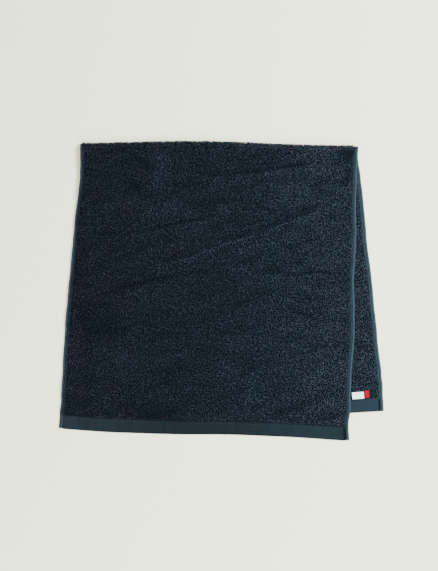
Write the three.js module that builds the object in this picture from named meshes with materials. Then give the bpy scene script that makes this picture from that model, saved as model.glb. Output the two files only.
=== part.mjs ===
// A terry bath towel, folded once across its middle and laid flat, its upper layer askew on the lower one.
// Millimetres, +Z up. The towel rests on the plane z = 0, its fold towards +Y and its two ends towards -Y.
// The cloth is one solid: a section runs from the upper layer's end over the fold to the lower layer's end.
import * as THREE from "three";

// The cloth as cut and hemmed
const CLOTH_WIDTH = 600;
const PILE_THICKNESS = 4.8;
const HEM_WIDTH = 9;
const HEM_THICKNESS = 2.6;
const HEM_GROOVE_THICKNESS = 1.5;
const HEM_GROOVE_WIDTH = 3;
const BAND_LENGTH = 26;
const BAND_THICKNESS = 1.8;
const PILE_STEP = 2.5;
const EDGE_ROUND = 2;
const EDGE_BLUNT = 0.6;

// How it is folded: the corners of the fold in plan, the sides' lengths from there, and each layer's turn
const FOLD_CORNER = { left: { x: -298.5, y: 305.6 }, right: { x: 298.8, y: 300.8 } };
const UPPER = { leftSide: 603, rightSide: 623, turn: -2.95 };
const LOWER = { leftSide: 593, rightSide: 565.3, turn: 4.3 };
const LAYER_GAP = 0.6;
const FOLD_BULGE = { height: 1.6, run: 32 };
const FOLD_RADIUS = PILE_THICKNESS + (LAYER_GAP + FOLD_BULGE.height) / 2;
const FLAT_FROM = 42;

// Where an outline leaves the straight line between its corners.
// at: share of the way along, reach: share over which it fades, push: millimetres outwards
const FOLD_BOWS = [{ at: 0.42, reach: 0.5, push: 7 }];
const UPPER_LEFT_BOWS = [
  { at: 0.13, reach: 0.16, push: -4.7 },
  { at: 0.45, reach: 0.14, push: 0.8 },
  { at: 0.66, reach: 0.28, push: 4.2 },
  { at: 1, reach: 0.34, push: 2.4 },
];
const UPPER_RIGHT_BOWS = [
  { at: 0.34, reach: 0.16, push: 4 },
  { at: 0.62, reach: 0.24, push: 5 },
  { at: 0.95, reach: 0.06, push: -3.2 },
  { at: 1, reach: 0.75, push: 3.4 },
];
const UPPER_END_BOWS = [
  { at: 0.2, reach: 0.36, push: 5.5 },
  { at: 0.44, reach: 0.2, push: 2.2 },
  { at: 1, reach: 0.22, push: 2.6 },
];
const LOWER_RIGHT_BOWS = [
  { at: 0.05, reach: 0.06, push: -1.6 },
  { at: 0.26, reach: 0.18, push: 1.4 },
  { at: 0.5, reach: 0.13, push: 1.7 },
  { at: 0.7, reach: 0.35, push: 3 },
  { at: 0.9, reach: 0.16, push: 2.8 },
];
const LOWER_END_BOWS = [{ at: 0.55, reach: 0.5, push: 6 }];

// The side hems draw in a little at the fold and at the upper layer's end, fading over a run along the hem
const DRAWN_IN = { atFold: 2.8, atEnd: 1.3, run: 50 };

// Near the lower layer's edges the upper one comes down to the surface, and reaches it after this run.
// side and end: how far inside the lower layer's left hem and its end this starts
const DROP = { side: 6, end: 12, run: 34 };

// The soft ridges left in the upper layer.
// x, y: middle in plan, length: along the crest, breadth: to either side, turn: degrees from +X
const RIDGES = [
  { x: -96, y: 44, length: 110, breadth: 15, turn: 17, height: 2.6 },
  { x: 0, y: 82, length: 150, breadth: 14, turn: 23, height: 3.4 },
  { x: 130, y: 126, length: 200, breadth: 14, turn: 20, height: 3.2 },
  { x: 105, y: 245, length: 210, breadth: 14, turn: 7.5, height: 2.8 },
  { x: -110, y: 127, length: 190, breadth: 15, turn: 11.5, height: 2.6 },
  { x: -125, y: 8, length: 140, breadth: 16, turn: 12.5, height: 2.8 },
  { x: 147, y: 27, length: 130, breadth: 12, turn: 0, height: 2.2 },
  { x: 186, y: -33, length: 95, breadth: 12, turn: 8, height: 2 },
  { x: 178, y: -68, length: 90, breadth: 12, turn: -27, height: 2 },
  { x: 215, y: -178, length: 120, breadth: 15, turn: 50, height: 3 },
  { x: 59, y: -215, length: 95, breadth: 15, turn: 75, height: 2.4 },
  { x: -140, y: 245, length: 110, breadth: 17, turn: 77, height: 3 },
  { x: -150, y: -212, length: 170, breadth: 20, turn: 8, height: 2.4 },
  { x: -225, y: -40, length: 130, breadth: 24, turn: 30, height: 2.2 },
];

// The woven label and the short red tab beside it, on the lower layer where the upper one leaves it bare.
// x, y: middle in plan, width and height: in plan
const LABEL = { x: 289, y: -229.7, width: 25, height: 16.5, turn: 4 };
const TAB = { x: 307.6, y: -228.2, width: 11, height: 17.5, turn: 2 };
const LABEL_THICKNESS = 0.8;
const LABEL_CLEARANCE = 0.3;
const LABEL_CURL = 0.7;

// Steps of the surface: across the cloth, and along each layer
const EDGE_STEPS = [0, 0.7, EDGE_ROUND];
const RIM_LENGTH = BAND_LENGTH + 10;
const COLUMNS_INSIDE = 27;
const UPPER_STEPS = 42;
const LOWER_STEPS = 9;
const FOLD_STEPS = 6;

const radians = THREE.MathUtils.degToRad;
const mix = THREE.MathUtils.lerp;

function smooth(low, high, value) {
  return THREE.MathUtils.smoothstep(value, low, high);
}

// The sum of an edge's bows at one share of its length
function bowed(bows, share) {
  const parts = bows.map(({ at, reach, push }) => {
    const away = Math.min(Math.abs(share - at) / reach, 1);
    return (push * (1 + Math.cos(Math.PI * away))) / 2;
  });
  return parts.reduce((sum, part) => sum + part, 0);
}

// The far corner of a layer's side, from the fold corner
function sideEnd(corner, length, turn) {
  return {
    x: corner.x + length * Math.sin(radians(turn)),
    y: corner.y - length * Math.cos(radians(turn)),
  };
}

function layer({ leftSide, rightSide, turn }, leftBows, rightBows, endBows) {
  return {
    leftSide,
    rightSide,
    leftEnd: sideEnd(FOLD_CORNER.left, leftSide, turn),
    rightEnd: sideEnd(FOLD_CORNER.right, rightSide, turn),
    leftBows,
    rightBows,
    endBows,
  };
}

const upper = layer(UPPER, UPPER_LEFT_BOWS, UPPER_RIGHT_BOWS, UPPER_END_BOWS);
const lower = layer(LOWER, [], LOWER_RIGHT_BOWS, LOWER_END_BOWS);

function sideLength(sheet, across) {
  return mix(sheet.leftSide, sheet.rightSide, across);
}

// Where a point of one layer lies in plan. across: 0 at the left hem to 1 at the right, away: from the fold
function planOf(sheet, across, away) {
  const along = away / sideLength(sheet, across);
  const foldX = mix(FOLD_CORNER.left.x, FOLD_CORNER.right.x, across);
  const foldY = mix(FOLD_CORNER.left.y, FOLD_CORNER.right.y, across);
  const endX = mix(sheet.leftEnd.x, sheet.rightEnd.x, across);
  const endY = mix(sheet.leftEnd.y, sheet.rightEnd.y, across);
  const left = bowed(sheet.leftBows, along) * (1 - across);
  const right = bowed(sheet.rightBows, along) * across;
  const fold = bowed(FOLD_BOWS, across) * (1 - along) ** 2;
  const end = bowed(sheet.endBows, across) * along ** 2;
  return {
    x: mix(foldX, endX, along) - left + right,
    y: mix(foldY, endY, along) + fold - end,
  };
}

// Half the cloth's thickness: thin in the rolled side hems and the flat-woven end band, full in the pile
function halfThickness(fromSide, fromEnd) {
  const groove = smooth(HEM_WIDTH - HEM_GROOVE_WIDTH, HEM_WIDTH - HEM_GROOVE_WIDTH / 3, fromSide);
  const hem = mix(HEM_THICKNESS, HEM_GROOVE_THICKNESS, groove);
  const body = mix(BAND_THICKNESS, PILE_THICKNESS, smooth(BAND_LENGTH, BAND_LENGTH + PILE_STEP, fromEnd));
  const full = mix(hem, body, smooth(HEM_WIDTH, HEM_WIDTH + PILE_STEP, fromSide));
  const rounded = Math.sqrt(smooth(-EDGE_BLUNT, EDGE_ROUND, Math.min(fromSide, fromEnd)));
  return (full / 2) * rounded;
}

// How far a point in plan lies to the right of the line from one point to another
function rightOf(point, from, to) {
  const run = { x: to.x - from.x, y: to.y - from.y };
  return ((point.x - from.x) * run.y - (point.y - from.y) * run.x) / Math.hypot(run.x, run.y);
}

// Height of whatever the upper layer lies on: the lower layer, or the surface past its left side and its end
function supportHeight(point) {
  const pastSide = rightOf(point, FOLD_CORNER.left, lower.leftEnd);
  const across = (point.x - lower.leftEnd.x) / (lower.rightEnd.x - lower.leftEnd.x);
  const pastEnd = rightOf(point, lower.leftEnd, lower.rightEnd) - bowed(lower.endBows, across);
  const onSide = 1 - smooth(-DROP.side, DROP.run - DROP.side, pastSide);
  const onEnd = 1 - smooth(-DROP.end, DROP.run - DROP.end, pastEnd);
  return (PILE_THICKNESS + LAYER_GAP) * onSide * onEnd;
}

function ridgeHeight(point) {
  const parts = RIDGES.map(({ x, y, length, breadth, turn, height }) => {
    const cos = Math.cos(radians(turn));
    const sin = Math.sin(radians(turn));
    const along = (point.x - x) * cos + (point.y - y) * sin;
    const beside = (point.y - y) * cos - (point.x - x) * sin;
    const crest = Math.exp(-((beside / breadth) ** 2));
    const ends = Math.exp(-(((2 * along) / length) ** 4));
    return height * crest * ends;
  });
  return parts.reduce((sum, part) => sum + part, 0);
}

// Height of the lower layer's middle surface: its hems leave the pile's middle at the fold and lie flat past it
function lowerMiddle(half, away) {
  return mix(PILE_THICKNESS / 2, half, smooth(FOLD_RADIUS, FLAT_FROM, away));
}

function upperMiddle(across, away, half) {
  const point = planOf(upper, across, away);
  const bulge = FOLD_BULGE.height * Math.exp(-((away / FOLD_BULGE.run) ** 2));
  const ridges = ridgeHeight(point) * smooth(FOLD_RADIUS, FLAT_FROM, away);
  return supportHeight(point) + lowerMiddle(half, away) + bulge + ridges;
}

// How far a point in a side hem is drawn along it, away from the fold or back from the end
function drawnIn(fromSide, away, fromEnd) {
  const inHem = 1 - smooth(HEM_WIDTH - HEM_GROOVE_WIDTH, HEM_WIDTH + PILE_STEP, fromSide);
  const fromFold = DRAWN_IN.atFold * (1 - smooth(0, DRAWN_IN.run, away));
  const back = DRAWN_IN.atEnd * (1 - smooth(0, DRAWN_IN.run, fromEnd));
  return inHem * (fromFold - back);
}

// The stations of the section, from the upper layer's end to the lower layer's end.
// fromEnd: distance from the layer's end, near it. part: past that, the share of the way on to the fold.
// turn: degrees round the fold, from 90 at the upper layer to -90 at the lower
function stations() {
  const rim = [...EDGE_STEPS, BAND_LENGTH, BAND_LENGTH + PILE_STEP, RIM_LENGTH];
  const count = (steps, row) => Array.from({ length: steps }, (_, step) => row(step + 1));
  const onLayer = (sheet, steps) => [
    ...rim.map((fromEnd) => ({ sheet, fromEnd })),
    ...count(steps, (step) => ({ sheet, part: step / steps })),
  ];
  const onFold = count(FOLD_STEPS - 1, (step) => ({ turn: 90 - (180 * step) / FOLD_STEPS }));
  return [...onLayer(upper, UPPER_STEPS), ...onFold, ...onLayer(lower, LOWER_STEPS).reverse()];
}

// Distances of the surface's columns from the left hem's edge
function columns() {
  const hem = [...EDGE_STEPS, HEM_WIDTH - HEM_GROOVE_WIDTH, HEM_WIDTH - 0.5, HEM_WIDTH + PILE_STEP];
  const inside = CLOTH_WIDTH - 2 * (HEM_WIDTH + PILE_STEP);
  const between = Array.from({ length: COLUMNS_INSIDE - 1 }, (_, n) => ((n + 1) * inside) / COLUMNS_INSIDE);
  const first = HEM_WIDTH + PILE_STEP;
  return [...hem, ...between.map((x) => first + x), ...hem.map((x) => CLOTH_WIDTH - x).reverse()];
}

// A point of the fold, at one turn round it. side: 1 on the cloth's outer face, -1 on its inner one
function foldPoint(turn, column, side) {
  const across = column / CLOTH_WIDTH;
  const fromSide = Math.min(column, CLOTH_WIDTH - column);
  const half = halfThickness(fromSide, Infinity);
  const low = lowerMiddle(half, FOLD_RADIUS);
  const high = upperMiddle(across, FOLD_RADIUS, half);
  const radius = (high - low) / 2 + side * half;
  const away = FOLD_RADIUS - radius * Math.cos(radians(turn));
  const height = (high + low) / 2 + radius * Math.sin(radians(turn));
  const shifted = away + drawnIn(fromSide, away, Infinity);
  const onUpper = planOf(upper, across, shifted);
  const onLower = planOf(lower, across, shifted);
  const share = (1 + Math.sin(radians(turn))) / 2;
  return [mix(onLower.x, onUpper.x, share), mix(onLower.y, onUpper.y, share), height];
}

// A point of one of the layers, whose outer faces are turned away from each other
function layerPoint({ sheet, fromEnd, part }, column, side) {
  const across = column / CLOTH_WIDTH;
  const fromSide = Math.min(column, CLOTH_WIDTH - column);
  const length = sideLength(sheet, across);
  const toEnd = fromEnd ?? mix(RIM_LENGTH, length - FOLD_RADIUS, part);
  const away = length - toEnd;
  const half = halfThickness(fromSide, toEnd);
  if (sheet === upper) {
    const { x, y } = planOf(upper, across, away + drawnIn(fromSide, away, toEnd));
    return [x, y, upperMiddle(across, away, half) + side * half];
  }
  const { x, y } = planOf(lower, across, away + drawnIn(fromSide, away, Infinity));
  return [x, y, lowerMiddle(half, away) - side * half];
}

function surfacePoint(station, column, side) {
  return station.sheet ? layerPoint(station, column, side) : foldPoint(station.turn, column, side);
}

// One closed ring of points round the cloth's section at a station: the outer face, then back on the inner
function ring(station) {
  const there = columns();
  const outer = there.map((column) => surfacePoint(station, column, 1));
  const inner = there.map((column) => surfacePoint(station, column, -1));
  return [...outer, ...inner.reverse()];
}

// A closed mesh through rings of equal count, with each end closed by a strip between the ring's two faces
function loft(rings) {
  const count = rings[0].length;
  const corner = (r, n) => r * count + (n % count);
  const index = [];
  for (let r = 0; r < rings.length - 1; r++) {
    for (let n = 0; n < count; n++) {
      index.push(corner(r, n), corner(r, n + 1), corner(r + 1, n));
      index.push(corner(r, n + 1), corner(r + 1, n + 1), corner(r + 1, n));
    }
  }
  const last = rings.length - 1;
  for (let n = 0; n < count / 2 - 1; n++) {
    const back = count - 1 - n;
    index.push(corner(0, n), corner(0, back), corner(0, n + 1));
    index.push(corner(0, n + 1), corner(0, back), corner(0, back - 1));
    index.push(corner(last, n), corner(last, n + 1), corner(last, back));
    index.push(corner(last, n + 1), corner(last, back - 1), corner(last, back));
  }
  const geometry = new THREE.BufferGeometry();
  geometry.setAttribute("position", new THREE.Float32BufferAttribute(rings.flat(2), 3));
  geometry.setIndex(index);
  geometry.computeVertexNormals();
  return geometry;
}

// A small plate of woven tape with its long edge curled up a little, its underside just clear of the pile
function tapePlate({ x, y, width, height, turn }) {
  const geometry = new THREE.BoxGeometry(width, height, LABEL_THICKNESS, 8, 4, 1);
  const position = geometry.getAttribute("position");
  for (let n = 0; n < position.count; n++) {
    const share = position.getY(n) / height + 0.5;
    const wave = (1 - Math.cos((2 * Math.PI * position.getX(n)) / width)) / 2;
    position.setZ(n, position.getZ(n) + LABEL_CURL * share ** 2 * mix(1, 0.5, wave));
  }
  geometry.rotateZ(radians(turn));
  geometry.translate(x, y, PILE_THICKNESS + LABEL_CLEARANCE + LABEL_THICKNESS / 2);
  return geometry;
}

function named(name, geometry, color) {
  const material = new THREE.MeshStandardMaterial({ color, roughness: 0.95, metalness: 0 });
  const mesh = new THREE.Mesh(geometry, material);
  mesh.name = name;
  return mesh;
}

const towel = new THREE.Group();
towel.add(named("towel", loft(stations().map(ring)), "#1f2a36"));
towel.add(named("label", tapePlate(LABEL), "#eef0ee"));
towel.add(named("label_tab", tapePlate(TAB), "#b01c2e"));

// The origin is under the middle of the whole outline, on the surface the towel lies on
const bounds = new THREE.Box3().setFromObject(towel);
const middle = bounds.getCenter(new THREE.Vector3());
towel.position.set(-middle.x, -middle.y, -bounds.min.z);

export default towel;
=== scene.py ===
# The looks of a dark terry bath towel that is folded once and laid flat.
# The cloth is worked out in millimetres, in the plan coordinates of its CAD solid. Its meshes are in metres.
import math
from types import SimpleNamespace as Values

import bpy
import numpy as np
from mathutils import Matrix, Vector


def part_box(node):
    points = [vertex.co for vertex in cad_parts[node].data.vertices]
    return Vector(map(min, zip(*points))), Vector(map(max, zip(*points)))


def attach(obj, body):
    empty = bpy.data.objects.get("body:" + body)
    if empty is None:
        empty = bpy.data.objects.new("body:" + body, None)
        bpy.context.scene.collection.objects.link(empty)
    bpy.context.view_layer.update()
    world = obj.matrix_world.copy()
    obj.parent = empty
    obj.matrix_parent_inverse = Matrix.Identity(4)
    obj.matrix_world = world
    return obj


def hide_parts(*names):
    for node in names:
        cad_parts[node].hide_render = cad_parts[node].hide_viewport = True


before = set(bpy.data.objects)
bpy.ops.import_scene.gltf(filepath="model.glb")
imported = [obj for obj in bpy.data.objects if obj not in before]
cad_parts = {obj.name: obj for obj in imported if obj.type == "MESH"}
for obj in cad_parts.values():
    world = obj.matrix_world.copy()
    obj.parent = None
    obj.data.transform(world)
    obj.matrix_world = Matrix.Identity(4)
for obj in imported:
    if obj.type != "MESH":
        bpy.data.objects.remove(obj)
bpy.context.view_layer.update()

MM = 0.001
SEED = 20

# The cloth as cut and hemmed
CLOTH_WIDTH = 600.0
PILE_THICKNESS = 4.8
HEM_WIDTH = 9.0
HEM_THICKNESS = 2.6
BAND_LENGTH = 27.6
BAND_THICKNESS = 1.8
PILE_STEP = 2.5
FAR = 1e4

# How it is folded: the corners of the fold in plan, the sides' lengths from there, and each layer's turn
FOLD_LEFT = (-298.5, 305.6)
FOLD_RIGHT = (298.8, 300.8)
UPPER = Values(left_side=603.0, right_side=623.0, turn=-2.95)
LOWER = Values(left_side=593.0, right_side=565.3, turn=4.3)
LAYER_GAP = 0.6
FOLD_BULGE = Values(height=1.6, run=32.0)
FOLD_RADIUS = PILE_THICKNESS + (LAYER_GAP + FOLD_BULGE.height) / 2
FOLD_ARC = 9.3
FLAT_FROM = 42.0

# Where an outline leaves the straight line between its corners:
# share of the way along, share over which the bow fades, millimetres outwards
FOLD_BOWS = [(0.42, 0.5, 7.0)]
UPPER_LEFT_BOWS = [
    (0.13, 0.16, -4.7), (0.45, 0.14, 1.0), (0.5, 0.5, 1.0),
    (0.66, 0.28, 4.0), (1.0, 0.34, 2.6),
]
UPPER_RIGHT_BOWS = [
    (0.34, 0.16, 4.0), (0.46, 0.44, -1.6), (0.62, 0.24, 5.0),
    (0.78, 0.14, -1.4), (0.95, 0.06, -3.2), (1.0, 0.75, 3.4),
]
UPPER_END_BOWS = [(0.2, 0.36, 5.5), (0.44, 0.2, 2.2), (1.0, 0.22, 2.6)]
LOWER_RIGHT_BOWS = [
    (0.05, 0.06, -1.6), (0.26, 0.18, 1.4), (0.5, 0.13, 1.7),
    (0.7, 0.35, 3.0), (0.9, 0.16, 2.8),
]
LOWER_END_BOWS = [(0.55, 0.5, 6.0)]

# The side hems draw in a little at the fold and at the upper layer's end, fading over a run along the hem
DRAWN_IN = Values(at_fold=-1.4, at_end=1.3, run=50.0, inside=3.0)

# Near the lower layer's edges the upper one starts coming down to the surface, and reaches it after this run
DROP = Values(side=6.0, end=12.0, run=34.0)

# The soft ridges of the upper layer: middle x and y, length, breadth, turn in degrees from +X, height
RIDGES = [
    (-96, 44, 110, 15, 17, 2.6), (0, 82, 150, 14, 23, 3.4),
    (130, 126, 200, 14, 20, 3.2), (105, 245, 210, 14, 7.5, 2.8),
    (-110, 127, 190, 15, 11.5, 2.6), (-125, 8, 140, 16, 12.5, 2.8),
    (147, 27, 130, 12, 0, 2.2), (186, -33, 95, 12, 8, 2),
    (178, -68, 90, 12, -27, 2), (215, -178, 120, 15, 50, 3),
    (59, -215, 95, 15, 75, 2.4), (-140, 245, 110, 17, 77, 3),
    (-150, -212, 170, 20, 8, 2.4), (-225, -40, 130, 24, 30, 2.2),
]

# The sharper creases on them, crests and troughs (of less than no height), in the same columns
CREASES = [
    (-90, 51, 60, 4, 12.7, 1.5), (-20, 74, 100, 3.8, 20.6, 1.9),
    (53, 99, 70, 3.4, 17.5, 1.3), (127, 126, 105, 3.6, 20.8, 1.6),
    (197, 150, 60, 4, 16, 1.1), (46, 107, 66, 4, 17.5, -0.6),
    (122, 134, 90, 4, 20.8, -1), (109, 251, 190, 4.6, 7.7, -1.8),
    (-225, 113, 110, 5, 4, -1), (-105, 129, 130, 4.8, 11.8, -1.9),
    (-28, 146, 45, 4.6, 14, -1.4), (-206, -6, 75, 5, 18.8, -1.6),
    (-137, 11, 75, 5.5, 9.2, -1.9), (-57, 26, 95, 5, 11.3, -1.6),
    (126, 30, 60, 4, -8.5, -1.6), (199, 27, 90, 4, 1.8, -1.8),
    (194, -28, 70, 5.5, 6.7, -1.5), (180, -62, 60, 5.5, -20.5, -1.5),
    (60, -35, 84, 6, 26, -1.2), (200, -184, 70, 6, 57.3, 1.3),
    (236, -166, 34, 4, 41.8, -1.4), (59, -234, 46, 5, 70.4, 1.2),
    (-175, 273, 90, 4, -35.3, -1.4), (-183, 217, 66, 4.5, -54.5, -1.4),
]

# Where the pile lies over, towards the light (more than 0) or away from it, in the same columns
# Its loops are painted lighter or darker with it: painted light and shade
NAP = [
    (-117, 157, 120, 26, 5, 1), (-64, 124, 80, 22, 0, 0.8),
    (-124, 271, 50, 26, 70, 0.9), (-143, 226, 55, 18, 5, 1),
    (214, 278, 65, 28, 0, 0.9), (160, 195, 65, 20, 0, 0.8),
    (-151, -28, 70, 20, 0, 0.8), (-89, -38, 80, 24, 0, 0.6),
    (-200, -155, 130, 34, -20, 0.7), (-302, -141, 80, 40, 90, 0.7),
    (-122, 34, 40, 13, 25, 0.9), (200, -184, 80, 16, 57, 0.8),
    (-245, -90, 85, 36, 5, -1), (-134, -266, 130, 22, -3, -0.9),
    (145, -248, 120, 28, 5, -0.6), (-100, -205, 60, 24, 30, -0.5),
    (276, 268, 90, 16, 90, -0.9), (274, 20, 70, 16, 90, -0.6),
    (266, -105, 90, 16, 90, -0.5), (-61, -52, 340, 55, 0, -0.2),
    (34, -238, 380, 45, 0, 0.2), (-90, 200, 150, 40, 0, -0.16),
]

# Small unevenness of the laid cloth: wavelength in x and in y, phase, height. It fades this far from the end
RIPPLES = [
    (170.0, 260.0, 0.4, 0.35),
    (95.0, -140.0, 1.9, 0.28),
    (60.0, 75.0, 3.1, 0.2),
    (-48.0, 66.0, 5.0, 0.16),
]
RIPPLES_FADE = 60.0

# How light the end bands are made: on the upper one by shares of the way across, ending in a painted shadow
# strip beside the right hem, and on the lower one
UPPER_BAND_SHADE = ((0, 0.4, 0.6, 0.9, 0.976, 0.983, 1), (0.92, 0.56, 0.56, 0.72, 0.66, 0.3, 0.3))
LOWER_BAND_SHADE = 0.92

# Rows of terry loops along the cloth, below, at and above the fold: from, to and spacing.
# Then the spacing in a row, and how far a root strays from its place
LOOP_ROWS = [
    (-640.0, -FOLD_ARC - 6, 3.15),
    (-FOLD_ARC, FOLD_ARC + 4, 2.4),
    (FOLD_ARC + 4.5, 640.0, 3.15),
]
LOOP_PITCH = 3.1
LOOP_STRAY = 0.9
# Their yarn's radius and mesh, how deep their feet sink, and their shapes
LOOP_YARN = 0.66
LOOP_SIDES = 3
LOOP_RINGS = 4
LOOP_SINK = 0.3
LOOP_ARCH = {"foot": (0.45, 0.8), "twist": (-0.7, 0.7), "tilt": (-0.35, 0.35), "yarn": (0.85, 1.15)}
LOOP_SPAN = (0.9, 1.8)
LOOP_HEIGHT = Values(pile=2.3, fold=0.7, clump=0.12, uneven=0.35, uneven_fold=0.4, pressed=0.62)
# How they lean: with their clump's slope, with the nap, by chance, at most, and over the hems and bands
LOOP_LEAN = Values(clump=0.5, nap=0.2, chance=0.75, most=2.2, over_hem=1.2, over_band=2.2)
LOOP_TURN = Values(grain=1.3, chance=0.8)
# How light they are, and the limits: by chance, in clumps and in waves, and as painted light and shade
# with the nap, a painted highlight at the fold's rim, painted light on crests and painted shade in troughs
LOOP_SHADE = {"chance": 0.4, "clump": 0.08, "wave": 0.13, "nap": 0.55, "fold": 0.3, "crease": 0.35}
LOOP_SHADE_SPAN = (0.2, 2.6)
# How far the ground lies under the pile's tips, how much higher it is at the fold and within what reach,
# half its thickness inside the hems, and how far in from each side edge and from the bands the loops begin
GROUND_DROP = 2.1
FOLD_LIFT = 1.1
FOLD_REACH = 9.0
HEM_GROUND = 0.5
PILE_FROM = Values(left=4.8, right=8.6, band=0.6)
# Where the lower layer begins to show at the upper one's right edge, and the share from which loops stand
SHOWS_FROM = (-16, -10)
SHOWS = 0.3
# Steps of the ground's mesh across the cloth, and its rows along the upper layer, the bend and the lower one
GROUND_ACROSS = 88
GROUND_SHARES = ((0, 1, 92), (1, -1, 13), (1, 0, 56))

# Woven labels: their sizes in plan and turns in degrees, and how they lie on the pile
LABEL = Values(width=24.4, height=13.8, turn=4.0, down=1.4)
TAB = Values(width=9.6, height=15.2, turn=2.0, down=0.0)
TAPE = Values(thickness=0.5, lift=0.05, curl=0.9, pucker=0.16, turned_end=2.2)

# Sewing: a stitch's sizes, its height on a hem, its place in from the side and the end, its slant at each,
# and where it begins on the inner face. Then a label's stitches
STITCH = Values(pitch=3.0, length=2.5, radius=0.4, height=1.1, side=6.7, end=22.5)
STITCH_SLANT = Values(side=0.12, end=0.06)
STITCH_INNER_FROM = -25.0
TAPE_STITCH = Values(pitch=1.9, length=1.5, radius=0.2, side=1.3)

# The camera of the photograph: tilt from straight down, distance, lens and the sensor's long side
CAMERA_TILT = 7.0
CAMERA_DISTANCE = 1900.0
CAMERA_LENS = 56.62
CAMERA_SENSOR = 36.0


def smooth(low, high, value):
    share = np.clip((value - low) / (high - low), 0, 1)
    return share * share * (3 - 2 * share)


def mix(a, b, share):
    return a + (b - a) * share


# The folded cloth's middle surface


def bowed(bows, share):
    """The sum of an edge's bows at some shares of its length."""
    total = np.zeros_like(share)
    for at, reach, push in bows:
        away = np.minimum(np.abs(share - at) / reach, 1)
        total += push * (1 + np.cos(np.pi * away)) / 2
    return total


class Layer:
    """One of the two layers, from the fold to its end."""

    def __init__(self, sizes, left_bows, right_bows, end_bows):
        turn = math.radians(sizes.turn)
        self.sides = sizes.left_side, sizes.right_side
        self.left_end, self.right_end = (
            (corner[0] + length * math.sin(turn), corner[1] - length * math.cos(turn))
            for corner, length in zip((FOLD_LEFT, FOLD_RIGHT), self.sides)
        )
        self.left_bows, self.right_bows, self.end_bows = left_bows, right_bows, end_bows

    def length(self, across):
        return mix(*self.sides, across)

    def plan(self, across, away):
        """Where points lie in plan. across: 0 at the left hem to 1 at the right, away: from the fold."""
        along = away / self.length(across)
        fold = [mix(a, b, across) for a, b in zip(FOLD_LEFT, FOLD_RIGHT)]
        end = [mix(a, b, across) for a, b in zip(self.left_end, self.right_end)]
        left = bowed(self.left_bows, along) * (1 - across)
        right = bowed(self.right_bows, along) * across
        up = bowed(FOLD_BOWS, across) * (1 - along) ** 2
        down = bowed(self.end_bows, across) * along**2
        return mix(fold[0], end[0], along) - left + right, mix(fold[1], end[1], along) + up - down


upper = Layer(UPPER, UPPER_LEFT_BOWS, UPPER_RIGHT_BOWS, UPPER_END_BOWS)
lower = Layer(LOWER, [], LOWER_RIGHT_BOWS, LOWER_END_BOWS)


def past_hem(from_side):
    return smooth(HEM_WIDTH, HEM_WIDTH + PILE_STEP, from_side)


def past_band(to_end):
    return smooth(BAND_LENGTH, BAND_LENGTH + PILE_STEP, to_end)


def half_thickness(from_side, to_end, in_hem=HEM_THICKNESS / 2):
    """Half the thickness of the cloth: thin in the hems and bands, full in the pile."""
    body = mix(BAND_THICKNESS, PILE_THICKNESS, past_band(to_end)) / 2
    return mix(in_hem, body, past_hem(from_side))


def right_of(x, y, start, end):
    """How far points in plan lie to the right of the line from one point to another."""
    run_x, run_y = end[0] - start[0], end[1] - start[1]
    return ((x - start[0]) * run_y - (y - start[1]) * run_x) / math.hypot(run_x, run_y)


def support_height(x, y):
    """Height of whatever the upper layer lies on: the lower layer, or the surface past its edges."""
    past_side = right_of(x, y, FOLD_LEFT, lower.left_end)
    across = (x - lower.left_end[0]) / (lower.right_end[0] - lower.left_end[0])
    past_end = right_of(x, y, lower.left_end, lower.right_end) - bowed(lower.end_bows, across)
    on_side = 1 - smooth(-DROP.side, DROP.run - DROP.side, past_side)
    on_end = 1 - smooth(-DROP.end, DROP.run - DROP.end, past_end)
    return (PILE_THICKNESS + LAYER_GAP) * on_side * on_end


def humps(rows, x, y):
    """The sum of some long soft humps: middle x and y, length, breadth, turn in degrees from +X, height."""
    total = np.zeros_like(x)
    for mid_x, mid_y, length, breadth, turn, height in rows:
        cos, sin = math.cos(math.radians(turn)), math.sin(math.radians(turn))
        along = (x - mid_x) * cos + (y - mid_y) * sin
        beside = (y - mid_y) * cos - (x - mid_x) * sin
        total += height * np.exp(-((beside / breadth) ** 2) - (2 * along / length) ** 4)
    return total


def ripple_height(x, y):
    return sum(
        height * (1 + np.sin(2 * np.pi * (x / wave_x + y / wave_y) + phase))
        for wave_x, wave_y, phase, height in RIPPLES
    )


def lower_middle(half, away):
    return mix(PILE_THICKNESS / 2, half, smooth(FOLD_RADIUS, FLAT_FROM, away))


def upper_middle(across, away, half):
    x, y = upper.plan(across, away)
    bulge = FOLD_BULGE.height * np.exp(-((away / FOLD_BULGE.run) ** 2))
    ripples = ripple_height(x, y) * smooth(0, RIPPLES_FADE, upper.length(across) - away)
    shape = np.maximum(humps(RIDGES + CREASES, x, y) + ripples, 0) * smooth(FOLD_RADIUS, FLAT_FROM, away)
    return support_height(x, y) + lower_middle(half, away) + bulge + shape


def drawn_in(from_side, away, from_end):
    in_hem = 1 - smooth(HEM_WIDTH - DRAWN_IN.inside, HEM_WIDTH + PILE_STEP, from_side)
    from_fold = DRAWN_IN.at_fold * (1 - smooth(0, DRAWN_IN.run, away))
    back = DRAWN_IN.at_end * (1 - smooth(0, DRAWN_IN.run, from_end))
    return in_hem * (from_fold - back)


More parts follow.
